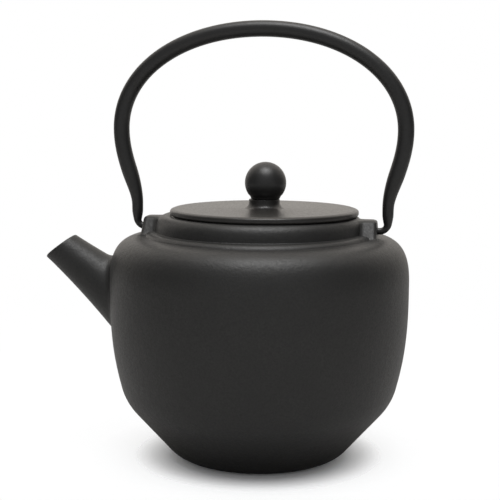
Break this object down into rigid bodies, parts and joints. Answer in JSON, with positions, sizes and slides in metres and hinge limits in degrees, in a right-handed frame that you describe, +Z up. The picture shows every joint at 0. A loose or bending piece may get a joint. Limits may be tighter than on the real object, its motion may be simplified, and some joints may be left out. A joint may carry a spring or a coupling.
{
  "type": "teapot infuser",
  "caption": "Cast-iron teapot with a conical spout, an upright swinging bail handle, a flat lid with a ball knob and a lift-out strainer basket.",
  "frame": {"origin": "centre of the flat base, on the surface the pot stands on", "axes": "+Z up along the pot's axis; the spout points along -X; the bail swings about a line parallel to X"},
  "size_m": [0.1749, 0.14, 0.2037],
  "materials": {
    "pot_iron": "black matt-satin coating over fine cast grain, black enamel inside",
    "lid_iron": "black matt-satin coating",
    "bail_steel": "black satin coating",
    "knob_black": "black semi-gloss coating",
    "stainless": "satin stainless sheet",
    "zinc_steel": "bright zinc plate"
  },
  "bodies": {
    "pot": {"teapot_body": "pot_iron"},
    "bail": {"bail_handle": "bail_steel"},
    "infuser": {"infuser_rim": "stainless", "infuser_wall": "stainless", "infuser_floor": "stainless", "infuser_band": "stainless"},
    "lid_set": {"lid": "lid_iron", "lid_knob": "knob_black", "knob_screw": "zinc_steel", "knob_washer": "zinc_steel", "knob_lock_washer": "zinc_steel"}
  },
  "joints": [
    {"name": "bail_swing", "type": "hinge", "parent": "pot", "child": "bail", "pos_m": [0, 0, 0.1077], "axis": [1, 0, 0], "range_deg": [-94, 94]},
    {"name": "infuser_lift", "type": "slide", "parent": "pot", "child": "infuser", "axis": [0, 0, 1], "range_m": [0, 0.054]},
    {"name": "lid_lift", "type": "slide", "parent": "infuser", "child": "lid_set", "axis": [0, 0, 1], "range_m": [0, 0.054]}
  ]
}
